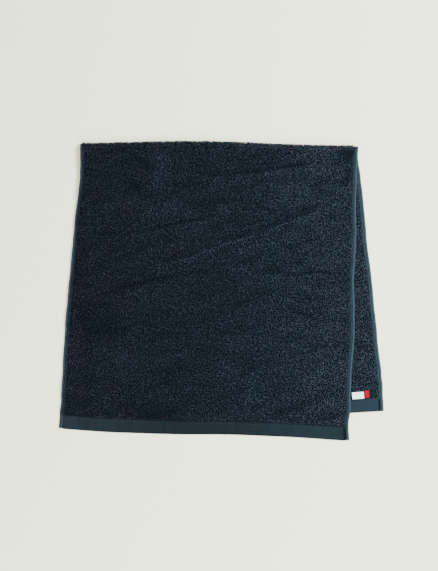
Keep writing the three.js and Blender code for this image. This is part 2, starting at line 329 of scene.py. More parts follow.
def cloth_points(u, s, h):
    """Where points of the cloth lie.
    u: across from the left hem. s: along from the fold's outermost line, more than 0 on the upper layer and
    less on the lower one. h: out of the middle surface, towards the face that is outside round the fold."""
    u, s, h = np.broadcast_arrays(np.asarray(u, float), np.asarray(s, float), np.asarray(h, float))
    across = u / CLOTH_WIDTH
    from_side = np.minimum(u, CLOTH_WIDTH - u)
    # Round the fold
    turn = np.clip(s / FOLD_ARC, -1, 1) * math.pi / 2
    half = half_thickness(from_side, FAR)
    low = lower_middle(half, FOLD_RADIUS)
    high = upper_middle(across, np.full_like(u, FOLD_RADIUS), half)
    radius = (high - low) / 2 + h
    away = FOLD_RADIUS - radius * np.cos(turn)
    shifted = away + drawn_in(from_side, away, FAR)
    upper_plan = upper.plan(across, shifted)
    lower_plan = lower.plan(across, shifted)
    share = (1 + np.sin(turn)) / 2
    fold = [mix(b, a, share) for a, b in zip(upper_plan, lower_plan)]
    fold.append((high + low) / 2 + radius * np.sin(turn))
    # On the layers
    away = FOLD_RADIUS + np.maximum(np.abs(s) - FOLD_ARC, 0)
    from_end = upper.length(across) - away
    plan = upper.plan(across, away + drawn_in(from_side, away, from_end))
    on_upper = [*plan, upper_middle(across, away, half_thickness(from_side, from_end)) + h]
    from_end = lower.length(across) - away
    plan = lower.plan(across, away + drawn_in(from_side, away, FAR))
    on_lower = [*plan, lower_middle(half_thickness(from_side, from_end), away) - h]
    places = zip(on_upper, on_lower, fold)
    return np.stack([np.where(s >= FOLD_ARC, a, np.where(s <= -FOLD_ARC, b, c)) for a, b, c in places], -1)


def end_of(layer, u):
    """The distance along the cloth from the fold's outermost line to a layer's end."""
    return layer.length(np.asarray(u, float) / CLOTH_WIDTH) - FOLD_RADIUS + FOLD_ARC


def own_end(u, s):
    """The same for the layer that each point is on."""
    return np.where(s > 0, end_of(upper, u), end_of(lower, u))


def middle_of(node):
    """The middle of a CAD node's box, in millimetres."""
    low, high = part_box(node)
    return (np.array(low) + np.array(high)) / 2 / MM


def plan_shift():
    """From the plan coordinates above to the CAD frame: the towel's solid is centred over the origin."""
    u, share = np.meshgrid(np.linspace(0, CLOTH_WIDTH, 121), np.linspace(0, 1, 121))
    points = np.concatenate(
        [
            cloth_points(u, FOLD_ARC + share * (end_of(upper, u) - FOLD_ARC), 0).reshape(-1, 3),
            cloth_points(u, -FOLD_ARC - share * (end_of(lower, u) - FOLD_ARC), 0).reshape(-1, 3),
            cloth_points(u[0], 0.0, PILE_THICKNESS / 2),
        ]
    )
    return np.append(middle_of("towel")[:2] - (points.min(0) + points.max(0))[:2] / 2, 0)


SHIFT = plan_shift()
STREAKS_SPREAD = 0.33


class Field:
    """Smooth random unevenness over the cloth, of about unit variance: a sum of many plane waves.
    streaks: the direction that most waves run in, in degrees from across the cloth, or none."""

    def __init__(self, seed, shortest, longest, waves=120, streaks=None):
        rng = np.random.default_rng(seed)
        length = shortest * (longest / shortest) ** rng.uniform(0, 1, waves)
        turn = rng.uniform(0, 2 * np.pi, waves)
        if streaks is not None:
            turn = np.radians(streaks) + rng.normal(0, STREAKS_SPREAD, waves)
        self.across = 2 * np.pi / length * np.cos(turn)
        self.along = 2 * np.pi / length * np.sin(turn)
        self.phase = rng.uniform(0, 2 * np.pi, waves)
        self.scale = math.sqrt(2 / waves)

    def angles(self, u, s):
        return np.outer(u, self.across) + np.outer(s, self.along) + self.phase

    def value(self, u, s):
        return self.scale * np.cos(self.angles(u, s)).sum(1)

    def slope(self, u, s):
        sine = -self.scale * np.sin(self.angles(u, s))
        return sine @ self.across, sine @ self.along


# Meshes


def add_object(name, data):
    thing = bpy.data.objects.new(name, data)
    bpy.context.scene.collection.objects.link(thing)
    return thing


def make_mesh(name, points, quads, materials, triangles=(), face_material=None, uv=None, lowest=-1, **shades):
    """A smooth mesh object from millimetre points in plan coordinates. shades: values for each point."""
    points[:, 2] = np.maximum(points[:, 2], lowest)
    quads = np.asarray(quads, np.int32).reshape(-1, 4)
    triangles = np.asarray(triangles, np.int32).reshape(-1, 3)
    corners = np.concatenate([quads.ravel(), triangles.ravel()])
    sizes = np.concatenate([np.full(len(quads), 4), np.full(len(triangles), 3)]).astype(np.int32)
    mesh = bpy.data.meshes.new(name)
    mesh.vertices.add(len(points))
    mesh.vertices.foreach_set("co", ((points + SHIFT) * MM).astype(np.float32).ravel())
    mesh.loops.add(len(corners))
    mesh.loops.foreach_set("vertex_index", corners)
    mesh.polygons.add(len(sizes))
    mesh.polygons.foreach_set("loop_start", np.concatenate([[0], np.cumsum(sizes)[:-1]]).astype(np.int32))
    mesh.polygons.foreach_set("use_smooth", np.ones(len(sizes), bool))
    if face_material is not None:
        mesh.polygons.foreach_set("material_index", np.asarray(face_material, np.int32))
    for material in materials:
        mesh.materials.append(material)
    if uv is not None:
        layer = mesh.uv_layers.new(name="cloth")
        layer.data.foreach_set("uv", (np.concatenate(uv)[corners] * MM).astype(np.float32).ravel())
    for key, values in shades.items():
        attribute = mesh.attributes.new(key, "FLOAT", "POINT")
        attribute.data.foreach_set("value", np.concatenate(values).astype(np.float32).ravel())
    mesh.update(calc_edges=True)
    mesh.validate()
    print(name, "triangles", 2 * len(quads) + len(triangles))
    return add_object(name, mesh)


def ring_quads(rings, around):
    """Quads between rings of points, each ring joined to the next all the way round."""
    ring, side = np.meshgrid(np.arange(rings - 1), np.arange(around), indexing="ij")
    a, b = ring * around + side, ring * around + (side + 1) % around
    return np.stack([a, b, b + around, a + around], -1).reshape(-1, 4)


def flat_caps(rings, around):
    """The two strips that close a flat tube whose rings run out on one face and back on the other."""
    near = np.arange(around // 2 - 1)
    far = around - 1 - near
    first = np.stack([near + 1, near, far, far - 1], -1)
    return np.concatenate([first, first[:, ::-1] + (rings - 1) * around])


def spread(*stops):
    """Values from one stop to the next. Each stop but the first is a value and the steps on the way to it."""
    values = [stops[0]]
    for end, steps in stops[1:]:
        start = values[-1]
        values += [start + (end - start) * (n + 1) / steps for n in range(steps)]
    return np.array(values)


# Materials


# The span in which most values of a noise node lie
NOISE_SPAN = (0.3, 0.7)


class Nodes:
    """A material's nodes, added one by one."""

    def __init__(self, name, color, roughness, specular=0.5, sheen=0.0, sheen_tint=(1.0, 1.0, 1.0)):
        self.material = bpy.data.materials.new(name)
        self.material.use_nodes = True
        self.tree = self.material.node_tree
        self.shader = self.tree.nodes["Principled BSDF"]
        looks = {"Base Color": (*color, 1), "Roughness": roughness, "Specular IOR Level": specular}
        self.set(self.shader, **looks, **{"Sheen Weight": sheen, "Sheen Tint": (*sheen_tint, 1)})
        coordinates = self.add("ShaderNodeTexCoord").outputs
        self.place, self.uv = coordinates["Object"], coordinates["UV"]

    def set(self, node, **values):
        for key, value in values.items():
            node.inputs[key].default_value = value
        return node

    def add(self, kind, settings=None, **values):
        node = self.tree.nodes.new(kind)
        for key, value in (settings or {}).items():
            setattr(node, key, value)
        return self.set(node, **values)

    def link(self, start, end):
        self.tree.links.new(start, end)

    def fed(self, kind, where, result, settings=None, **values):
        """A result of a new node that takes its vector from another."""
        node = self.add(kind, settings, **values)
        self.link(where, node.inputs["Vector"])
        return node.outputs[result]

    def attribute(self, name):
        return self.add("ShaderNodeAttribute", {"attribute_name": name}).outputs["Fac"]

    def stretched_uv(self, scale):
        return self.fed("ShaderNodeMapping", self.uv, "Vector", Scale=scale)

    def noise(self, scale, detail=2.0, roughness=0.5, where=None):
        values = {"Scale": scale, "Detail": detail, "Roughness": roughness}
        return self.fed("ShaderNodeTexNoise", where or self.place, "Fac", **values)

    def ribs(self, direction, pitch, distortion):
        """Fine parallel ribs, a pitch in millimetres apart."""
        settings = {"wave_type": "BANDS", "bands_direction": direction, "wave_profile": "SIN"}
        values = {"Scale": math.pi / 10 / (pitch * MM), "Distortion": distortion}
        return self.fed("ShaderNodeTexWave", self.uv, "Fac", settings, **values)

    def remap(self, value, low, high, to_low, to_high):
        values = {"From Min": low, "From Max": high, "To Min": to_low, "To Max": to_high}
        node = self.add("ShaderNodeMapRange", **values)
        self.link(value, node.inputs["Value"])
        return node.outputs["Result"]

    def mottle(self, low, high, *noise, **where):
        """Noise that mostly lies between two values."""
        return self.remap(self.noise(*noise, **where), *NOISE_SPAN, low, high)

    def math(self, operation, *values):
        """The result of one operation on two values, or on more of them one after the other."""
        result = values[0]
        for value in values[1:]:
            node = self.add("ShaderNodeMath", {"operation": operation})
            for socket, part in zip(node.inputs, (result, value)):
                if isinstance(part, (int, float)):
                    socket.default_value = part
                else:
                    self.link(part, socket)
            result = node.outputs["Value"]
        return result

    def mixed(self, a, b, share):
        """From one colour to another. Each is a colour or a socket."""
        node = self.add("ShaderNodeMix", {"data_type": "RGBA"})
        # A mix node has sockets for numbers and vectors before those for colours
        colors = [socket for socket in node.inputs if socket.type == "RGBA"]
        for socket, color in zip(colors, (a, b)):
            if isinstance(color, tuple):
                socket.default_value = (*color, 1)
            else:
                self.link(color, socket)
        self.link(share, node.inputs[0])
        return next(socket for socket in node.outputs if socket.type == "RGBA")

    def paint(self, color):
        self.link(color, self.shader.inputs["Base Color"])

    def bump(self, height, distance, strength=1.0):
        node = self.add("ShaderNodeBump", Strength=strength, Distance=distance)
        self.link(height, node.inputs["Height"])
        self.link(node.outputs["Normal"], self.shader.inputs["Normal"])


BLACK = (0.0, 0.0, 0.0)
TEAL_YARN = (0.034, 0.046, 0.062)
VIOLET_YARN = (0.042, 0.041, 0.063)
BAND_YARN = Values(dark=(0.0072, 0.011, 0.0148), light=(0.0102, 0.0188, 0.0243))
HEM_YARN = Values(dark=(0.03, 0.022, 0.035), light=(0.0275, 0.05, 0.0635))


def side_to_side(nodes):
    """0 at the towel's left side and 1 at its right."""
    return nodes.remap(nodes.fed("ShaderNodeSeparateXYZ", nodes.place, "X"), -0.3, 0.32, 0.0, 1.0)


def side_light_and_clouds(nodes, rise, clouds):
    """Painted side light, from 1 at the towel's left upwards to its right, with cloudy patches."""
    across = nodes.math("POWER", side_to_side(nodes), 2.5)
    lifted = nodes.math("ADD", nodes.math("MULTIPLY", across, rise), 1.0)
    patches = nodes.mottle(1 - clouds, 1 + clouds, 11.0, 3.0, 0.55)
    return nodes.math("MULTIPLY", lifted, patches)


def yarn_tint(nodes):
    """Dyed cotton that is here more teal and there more violet, and more violet at the left."""
    share = nodes.remap(nodes.noise(45.0), 0.35, 0.65, -0.1, 0.7)
    share = nodes.math("ADD", share, nodes.remap(side_to_side(nodes), 0.0, 0.7, 0.4, 0.0))
    return nodes.mixed(TEAL_YARN, VIOLET_YARN, share)


def loop_material():
    """Uncut cotton loops: painted shade at their feet, painted side light, each of its own shade, with fine
    twisted fibres.
    """
    nodes = Nodes("terry_loops", TEAL_YARN, 0.9, specular=0.02, sheen=0.06, sheen_tint=(0.3, 0.55, 0.8))
    fibre = nodes.mottle(0.8, 1.2, 2600.0)
    # Painted shade: darker towards the loops' feet
    tip = nodes.remap(nodes.attribute("tip"), 0.0, 1.0, 0.3, 1.0)
    side_lit_clouds = side_light_and_clouds(nodes, 1.78, 0.12)
    share = nodes.math("MULTIPLY", nodes.attribute("shade"), tip, side_lit_clouds, fibre, 0.265)
    nodes.paint(nodes.mixed(BLACK, yarn_tint(nodes), share))
    nodes.bump(nodes.noise(1500.0, 3.0), 0.0004)
    return nodes.material


def ground_material():
    """The woven ground that shows between the loops, painted dark as the shade between them."""
    nodes = Nodes("terry_ground", (0.003, 0.005, 0.007), 0.95, specular=0.02)
    share = nodes.mottle(0.0, 1.0, 500.0)
    nodes.paint(nodes.mixed((0.002, 0.003, 0.005), (0.004, 0.007, 0.01), share))
    nodes.bump(nodes.noise(700.0, 3.0), 0.001)
    return nodes.material


def pressed_material():
    """The pile where it is pressed flat: under the towel and between its layers."""
    nodes = Nodes("terry_pressed", TEAL_YARN, 0.95, specular=0.02)
    values = {"Scale": 330.0, "Randomness": 0.9}
    cells = nodes.fed("ShaderNodeTexVoronoi", nodes.place, "Distance", {"feature": "F1"}, **values)
    nub = nodes.remap(cells, 0.0, 0.7, 1.0, 0.0)
    patches = nodes.mottle(0.6, 1.2, 90.0, 3.0)
    # The hollows between the nubs are painted darker: painted shade
    share = nodes.math("MULTIPLY", nodes.remap(nub, 0.0, 1.0, 0.15, 1.0), patches, 0.42)
    nodes.paint(nodes.mixed(BLACK, yarn_tint(nodes), share))
    nodes.bump(nub, 0.0016)
    return nodes.material


def woven_material(name, yarn, pitch, start, rise):
    """Flat weave: fine ribs across the cloth and along it, with uneven streaks of dye and painted side light.
    shade darkens it, with painted light and shade.
    """
    nodes = Nodes(name, yarn.light, 0.85, specular=0.05, sheen=0.05, sheen_tint=(0.4, 0.6, 0.8))
    weave = nodes.math("MULTIPLY", nodes.ribs("Y", pitch, 0.6), nodes.ribs("X", pitch * 1.3, 0.4))
    streaks = nodes.mottle(-0.3, 0.3, 210.0, 3.0, where=nodes.stretched_uv((1, 0.1, 1)))
    blotches = nodes.mottle(-0.12, 0.12, 60.0, 3.0)
    side_lit_clouds = nodes.math("MULTIPLY", side_light_and_clouds(nodes, rise, 0.06), start)
    share = nodes.math("ADD", side_lit_clouds, streaks, blotches, nodes.math("MULTIPLY", weave, 0.15))
    nodes.paint(nodes.mixed(BLACK, nodes.mixed(yarn.dark, yarn.light, share), nodes.attribute("shade")))
    nodes.bump(weave, 0.0003)
    return nodes.material


def thread_material(name, color):
    nodes = Nodes(name, color, 0.75, specular=0.08)
    share = nodes.mottle(0.0, 1.0, 1200.0)
    nodes.paint(nodes.mixed(tuple(part * 0.6 for part in color), color, share))
    nodes.bump(nodes.noise(3000.0), 0.0002)
    return nodes.material


def tape_material(name, color, fold_shade):
    """Fine satin tape with close ribs, and painted shade along the fold where its ends are turned under and
    sewn.
    """
    nodes = Nodes(name, color, 0.6, specular=0.1, sheen=0.03)
    weave = nodes.math("MULTIPLY", nodes.ribs("Y", 0.45, 0.3), nodes.ribs("X", 0.6, 0.3))
    slubs = nodes.mottle(0.0, 0.35, 900.0, where=nodes.stretched_uv((0.2, 1, 1)))
    share = nodes.math("ADD", slubs, nodes.math("MULTIPLY", weave, 0.12), nodes.attribute("shade"))
    nodes.paint(nodes.mixed(color, fold_shade, share))
    nodes.bump(weave, 0.0002)
    return nodes.material


LOOPS = loop_material()
GROUND = ground_material()
PRESSED = pressed_material()
BAND = woven_material("band_weave", BAND_YARN, 0.9, 0.25, 3.4)
HEM = woven_material("hem_weave", HEM_YARN, 0.7, 0.5, 1.0)
SIDE_THREAD = thread_material("hem_thread", (0.024, 0.037, 0.05))
END_THREAD = thread_material("band_thread", (0.017, 0.028, 0.037))
# Each tape's second colour is its painted shade along the turned ends' fold
WHITE_TAPE = tape_material("white_tape", (0.98, 1.0, 1.0), (0.77, 0.8, 0.8))
RED_TAPE = tape_material("red_tape", (0.23, 0.0016, 0.007), (0.14, 0.001, 0.005))
WHITE_THREAD = thread_material("white_thread", (0.85, 0.86, 0.85))
RED_THREAD = thread_material("red_thread", (0.2, 0.003, 0.009))


# The cloth's ground


def uncovered(u, s):
    """1 where the lower layer's upper face shows past the upper layer's right hem."""
    x, y, _ = np.moveaxis(cloth_points(u, s, 0), -1, 0)
    edge_x = upper.plan(np.ones_like(x), np.clip(FOLD_RIGHT[1] - y, 0, UPPER.right_side))[0]
    return smooth(*SHOWS_FROM, x - edge_x)


def near_fold(s):
    """1 on the fold's outermost line, fading out over the bend."""
    return np.exp(-((s / FOLD_REACH) ** 2))


def make_ground():
    """The woven ground under the loops, with the end bands, as one closed sheet."""
    side = spread(2.0, (HEM_WIDTH, 3), (HEM_WIDTH + PILE_STEP, 3), (HEM_WIDTH + 8, 2))
    middle = spread(side[-1], (CLOTH_WIDTH - side[-1], GROUND_ACROSS))[1:-1]
    u = np.concatenate([side, middle, (CLOTH_WIDTH - side)[::-1]])
    from_side = np.minimum(u, CLOTH_WIDTH - u)
    band = spread(0.0, (0.6, 1), (1.8, 2), (BAND_LENGTH, 9))
    rim = np.concatenate([band, spread(BAND_LENGTH, (BAND_LENGTH + PILE_STEP, 3), (BAND_LENGTH + 10, 2))[1:]])
    top, bottom = end_of(upper, u), end_of(lower, u)
    down, bend, back = (np.linspace(*span) for span in GROUND_SHARES)
    rows = [("upper", top - value) for value in rim]
    rows += [("upper", mix(top - rim[-1], FOLD_ARC, share)) for share in down[1:]]
    rows += [("fold", np.full_like(u, share * FOLD_ARC)) for share in bend[1:-1]]
    rows += [("lower", -mix(bottom - rim[-1], FOLD_ARC, share)) for share in back[:-1]]
    rows += [("lower", value - bottom) for value in rim[::-1]]
    points, uv, bare, shade = [], [], [], []
    for where, s in rows:
        below = where == "lower"
        to_end = (bottom if below else top) - np.abs(s)
        pile = past_hem(from_side) * past_band(to_end)
        edge = np.sqrt(smooth(-0.3, 1.8, to_end))
        half = half_thickness(from_side, to_end, HEM_GROUND)
        shows_inside = uncovered(u, s) if below else np.zeros_like(u)
        shows_outside = 0 if below else 1
        drop = (GROUND_DROP - FOLD_LIFT * near_fold(s)) * pile * shows_outside
        outer = cloth_points(u, s, (half - drop) * edge)
        inner = cloth_points(u, s, -(half - GROUND_DROP * pile * shows_inside) * edge)
        points.append(np.concatenate([outer, inner[::-1]]))
        uv.append(np.stack([np.concatenate([place, place[::-1]]) for place in (u, s)], -1))
        bare.append(np.concatenate([np.full(len(u), shows_outside), shows_inside[::-1] > SHOWS]))
        # The bands' lightness, with a painted shadow strip beside the upper layer's right hem
        band_shade = np.full_like(u, LOWER_BAND_SHADE)
        if where == "upper":
            band_shade = np.interp(u / CLOTH_WIDTH, *UPPER_BAND_SHADE)
        shade.append(np.concatenate([band_shade, band_shade[::-1]]))
    around = 2 * len(u)
    rings = len(rows)
    faces = np.concatenate([ring_quads(rings, around), flat_caps(rings, around)])
    # The bands have their weave, the ground its own where loops stand on it, and the rest is pressed pile
    ring_of = faces[:, 0] // around
    is_band = (ring_of < len(band) - 1) | (ring_of >= rings - len(band))
    is_bare = np.concatenate(bare).astype(bool)[faces[:, 0]]
    looks = {"face_material": np.where(is_band, 1, np.where(is_bare, 0, 2)), "uv": uv, "shade": shade}
    return make_mesh("cloth_ground", np.concatenate(points), faces, [GROUND, BAND, PRESSED], **looks)


# Terry loops

CLUMPS = Field(SEED + 1, 8.0, 20.0)
WAVES = Field(SEED + 2, 18.0, 70.0, streaks=78)
GRAIN = Field(SEED + 3, 30.0, 90.0)


def painted_slope_light(x, y):
    """How far the folds' slopes face the front: painted light on the loops there, painted shade where they
    face back.
    """
    step_x, step_y = 0.7, -1.9
    folds = RIDGES + CREASES
    rise = humps(folds, x - step_x, y - step_y) - humps(folds, x + step_x, y + step_y)
    return rise / (2 * math.hypot(step_x, step_y))


def loop_roots():
    """Where the loops stand: u, s and the face that they are on (1 outside, -1 inside), row by row."""
    rng = np.random.default_rng(SEED)
    columns = np.arange(PILE_FROM.left, CLOTH_WIDTH - PILE_FROM.right, LOOP_PITCH)
    rows = np.concatenate([np.arange(*row) for row in LOOP_ROWS])
    u, s = np.meshgrid(columns, rows)
    u = u + (np.arange(len(rows)) % 2)[:, None] * LOOP_PITCH / 2
    u = (u + rng.uniform(-LOOP_STRAY, LOOP_STRAY, u.shape)).ravel()
    s = (s + rng.uniform(-LOOP_STRAY, LOOP_STRAY, s.shape)).ravel()
    on_pile = own_end(u, s) - np.abs(s) > BAND_LENGTH + PILE_FROM.band
    on_pile &= u < CLOTH_WIDTH - PILE_FROM.right
    outside = on_pile & (s > -FOLD_ARC)
    inside = on_pile & (s < LOOP_ROWS[0][1])
    inside[inside] = uncovered(u[inside], s[inside]) > SHOWS
    roots_u, roots_s = (np.concatenate([place[outside], place[inside]]) for place in (u, s))
    face = np.concatenate([np.ones(outside.sum()), -np.ones(inside.sum())])
    order = np.argsort(-roots_s * face - 2000 * (face < 0), kind="stable")
    return roots_u[order], roots_s[order], face[order]


def under_tape(x, y):
    """1 where a label presses the loops down."""
    pressed = np.zeros_like(x)
    for node, size in (("label", LABEL), ("label_tab", TAB)):
        middle = middle_of(node) - SHIFT
        inside_x, inside_y = (
            smooth(-2.5, -0.5, side / 2 - np.abs(place - at))
            for side, place, at in zip((size.width, size.height), (x, y), middle)
        )
        pressed = np.maximum(pressed, inside_x * inside_y)
    return pressed


def arch_rings(span, tall, rng):
    """Loops' yarns as rings of points round an arch, in millimetres from their roots.
    Axis 0: the loop, 1: the ring along its yarn, 2: the point round it, 3: across, along and up."""
    count = len(span)
    foot, twist, tilt, yarn = (rng.uniform(*limits, count) for limits in LOOP_ARCH.values())
    radius = LOOP_YARN * yarn
    zero = np.zeros(count)
    sunk = zero - LOOP_SINK
    stops = (-foot, zero, sunk), (-span, twist, tall + tilt), (span, -twist, tall - tilt), (foot, zero, sunk)
    path = np.stack([np.stack(stop, -1) for stop in stops], 1)
    tangent = np.gradient(path, axis=1)
    tangent /= np.linalg.norm(tangent, axis=2, keepdims=True)
    out = np.cross(tangent, (0.0, 1.0, 0.0))
    out /= np.linalg.norm(out, axis=2, keepdims=True)
    side = np.cross(out, tangent)
    angle = 2 * np.pi * np.arange(LOOP_SIDES) / LOOP_SIDES
    around = np.cos(angle)[:, None] * out[:, :, None] + np.sin(angle)[:, None] * side[:, :, None]
    return path[:, :, None] + radius[:, None, None, None] * around


def each(values):
    """One value for each loop, to go with the points of its rings."""
    return values[:, None, None]


def make_loops(name, u, s, face, seed):
    """A stretch of loops. Neighbours lean together into tufts, and lie over with the pile's nap."""
    rng = np.random.default_rng(seed)
    count = len(u)
    x, y, _ = np.moveaxis(cloth_points(u, s, 0), -1, 0)
    on_top = (face > 0) & (s > FOLD_ARC)
    nap = on_top * humps(NAP, x, y)
    crease = on_top * humps(CREASES, x, y)
    slope_light = on_top * painted_slope_light(x, y)
    clump = CLUMPS.value(u, s)
    wave = WAVES.value(u, s)
    pressed = (face < 0) * under_tape(x, y)
    at_fold = near_fold(s)
    uneven = (LOOP_HEIGHT.uneven + LOOP_HEIGHT.uneven_fold * at_fold) * rng.uniform(-1, 1, count)
    tall = LOOP_HEIGHT.pile + LOOP_HEIGHT.fold * at_fold
    tall = tall + LOOP_HEIGHT.clump * np.clip(clump, -1.5, 1.5) + uneven
    tall *= mix(1, LOOP_HEIGHT.pressed, pressed)
    rings = arch_rings(rng.uniform(*LOOP_SPAN, count), tall, rng)
    # Which way it leans, and how it is turned about its root
    slope_u, slope_s = CLUMPS.slope(u, s)
    with_nap = LOOP_LEAN.nap * nap
    lean_u = LOOP_LEAN.clump * slope_u + with_nap + rng.normal(0, LOOP_LEAN.chance, count)
    lean_s = LOOP_LEAN.clump * slope_s - with_nap + rng.normal(0, LOOP_LEAN.chance, count)
    lean = np.hypot(lean_u, lean_s)
    held = np.minimum(lean, LOOP_LEAN.most) / np.maximum(lean, 1e-6) * (1 - pressed)
    yaw = each(LOOP_TURN.grain * GRAIN.value(u, s) + rng.normal(0, LOOP_TURN.chance, count))
    rise = np.clip(rings[..., 2] / each(tall), 0, 1.2) ** 1.5
    across = rings[..., 0] * np.cos(yaw) - rings[..., 1] * np.sin(yaw) + each(held * lean_u) * rise
    along = rings[..., 0] * np.sin(yaw) + rings[..., 1] * np.cos(yaw) + each(held * lean_s) * rise
    # Loops lean no further than this over the hems and bands
    right = CLOTH_WIDTH - PILE_FROM.right + LOOP_LEAN.over_hem
    at_u = np.clip(each(u) + across, PILE_FROM.left - LOOP_LEAN.over_hem, right)
    room = each(own_end(u, s) - BAND_LENGTH + LOOP_LEAN.over_band)
    at_s = np.clip(each(s) + along, -room, room)
    foot = PILE_THICKNESS / 2 - GROUND_DROP + FOLD_LIFT * at_fold
    at_h = each(face) * (each(foot) + rings[..., 2])
    points = cloth_points(at_u, at_s, at_h).reshape(-1, 3)
    # Faces, turned round on the inner face so that they point outwards there too
    per_loop = LOOP_RINGS * LOOP_SIDES
    quads = ring_quads(LOOP_RINGS, LOOP_SIDES)[:, ::-1]
    caps = np.array([[0, 1, 2], [per_loop - 1, per_loop - 2, per_loop - 3]])
    start = each(np.arange(count) * per_loop)
    outward = each(face) > 0
    quads, caps = (np.where(outward, faces, faces[:, ::-1]) + start for faces in (quads, caps))
    # Painted light and shade: lighter or darker with the nap, lighter at the fold's rim, on crests and on
    # front-facing slopes, darker in troughs
    own = np.exp(LOOP_SHADE["chance"] * rng.normal(0, 1, count))
    looks = {"clump": clump, "wave": wave, "nap": nap, "fold": at_fold}
    patchy = sum((LOOP_SHADE[key] * look for key, look in looks.items()), start=1)
    shade = own * patchy * (1 + LOOP_SHADE["crease"] * crease) * (1 + slope_light)
    shade = np.repeat(np.clip(shade, *LOOP_SHADE_SPAN)[:, None], per_loop, 1)
    tip = np.clip(rings[..., 2] / each(tall), 0, 1)
    quads, caps = quads.reshape(-1, 4), caps.reshape(-1, 3)
    return make_mesh(name, points, quads, [LOOPS], caps, lowest=0.05, shade=shade, tip=tip)


# Side hems and sewing

# Half of a hem's section, in from the cloth's edge and up: the rolled edge, and points over the turned part
ROLL = Values(width=4.5, height=1.35)
FLAP = [(4.9, 0.25), (5.4, 0.8), (6.1, 1.05), (7.2, 1.1), (8.1, 0.9), (8.8, 0.5), (9.2, 0.15)]
# How thin the turned part is pressed beside the end bands, and how much further it reaches there
FLAP_PRESSED = 0.78
FLAP_SPREAD = 0.7
# Painted light and shade on the hems: how light the roll's edge, its inner side and the turned part,
# which lies in painted shade, are. Then, beside the bands, how the roll's painted lightness and its width
# change, and how dark the turned part is there, a painted shadow strip on the right hems.
# Columns: left hem, right hem above and below
HEM_PAINTED_SHADE_AND_WIDTH = {
    "edge": (0.52, 0.64, 1.15),
    "inner": (1.4, 0.96, 1.9),
    "flap": (0.56, 0.36, 0.6),
    "band_roll": (0.6, 1.2, 0.65),
    "band_width": (1.5, 1.08, 1.1),
    "band_flap": (0.36, 0.08, 0.1),
}
# Half the length at the fold over which one stretch becomes the other
STRETCH_RUN = 12.0
# Steps of a hem's mesh round its roll, and above, at and below the fold, how its tips close, and its wander
ROLL_STEPS = 9
HEM_STEPS = (112, 28, 104)
HEM_TIP = Values(from_end=(0.0, 0.25, 0.9), thickness=(0.45, 0.75, 0.93), length=2.2)
HEM_WANDER = 0.22


def band_share(to_end):
    """1 beside the end bands, 0 beside the pile."""
    return 1 - smooth(BAND_LENGTH - 4, BAND_LENGTH + 3, to_end)


def flap_height(to_end):
    """The turned part of a hem is pressed thin beside the end bands."""
    return mix(1, FLAP_PRESSED, band_share(to_end))


def hem_painted_shade_and_width(left, along):
    """The values in HEM_PAINTED_SHADE_AND_WIDTH at a place along a hem."""
    share = smooth(-STRETCH_RUN, STRETCH_RUN, along)
    return [on_left if left else mix(below, above, share) for on_left, above, below in HEM_PAINTED_SHADE_AND_WIDTH.values()]


def hem_ends(left):
    """How far a side hem runs along the cloth from the fold, above and below."""
    return [float(end_of(layer, 0.0 if left else CLOTH_WIDTH)) for layer in (upper, lower)]


def make_hem(name, left):
    """A side hem: a round rolled edge, a narrow groove, and the turned part that is sewn down."""
    angles = np.linspace(0.0, math.pi * 0.88, ROLL_STEPS)
    roll = [(ROLL.width / 2 * (1 - math.cos(a)), ROLL.height * math.sin(a)) for a in angles]
    half_section = np.array(roll + FLAP)
    section = np.concatenate([half_section, (half_section * (1, -1))[::-1][:-1]])
    is_flap = section[:, 0] > ROLL.width + 0.2
    across_roll = np.minimum(section[:, 0] / ROLL.width, 1)
    top, bottom = hem_ends(left)
    tip = np.array(HEM_TIP.from_end)
    thin = HEM_TIP.thickness
    last = HEM_TIP.length - bottom
    stops = zip((24.0, -24.0, last), HEM_STEPS)
    body = spread(top - HEM_TIP.length, *stops)
    s = np.concatenate([top - tip, body, tip[::-1] - bottom])
    close = np.concatenate([thin, np.ones(len(body)), thin[::-1]])
    wander = HEM_WANDER * Field(SEED + (4 if left else 5), 22.0, 90.0, 40).value(np.zeros(len(s)), s)
    points, uv, shade = [], [], []
    for n, along in enumerate(s):
        to_end = (top if along > 0 else bottom) - abs(along)
        beside = band_share(to_end)
        edge, inner, flap, band_roll, band_width, band_flap = hem_painted_shade_and_width(left, along)
        wide = mix(1, band_width, beside)
        past_roll = np.maximum(section[:, 0] - ROLL.width, 0)
        inward = section[:, 0] * wide + FLAP_SPREAD * beside * past_roll + wander[n]
        height = section[:, 1] * close[n] * np.where(is_flap, flap_height(to_end), 1)
        points.append(cloth_points(inward if left else CLOTH_WIDTH - inward, along, height))
        uv.append(np.stack([section[:, 0], np.full(len(section), along)], -1))
        # Painted light and shade on the roll and the turned part, and beside the bands a painted shadow strip
        on_roll = mix(edge, inner, across_roll) * mix(1, band_roll, beside)
        shade.append(np.where(is_flap, mix(flap, band_flap, beside), on_roll))
    around = len(section)
    strip = np.arange(len(half_section) - 1)
    cap = np.stack([strip, (around - strip) % around, around - strip - 1, strip + 1], -1)
    faces = np.concatenate([ring_quads(len(s), around), cap, cap[:, ::-1] + (len(s) - 1) * around])
    faces = faces if left else faces[:, ::-1]
    return make_mesh(name, np.concatenate(points), faces, [HEM], uv=uv, lowest=0.02, shade=shade)


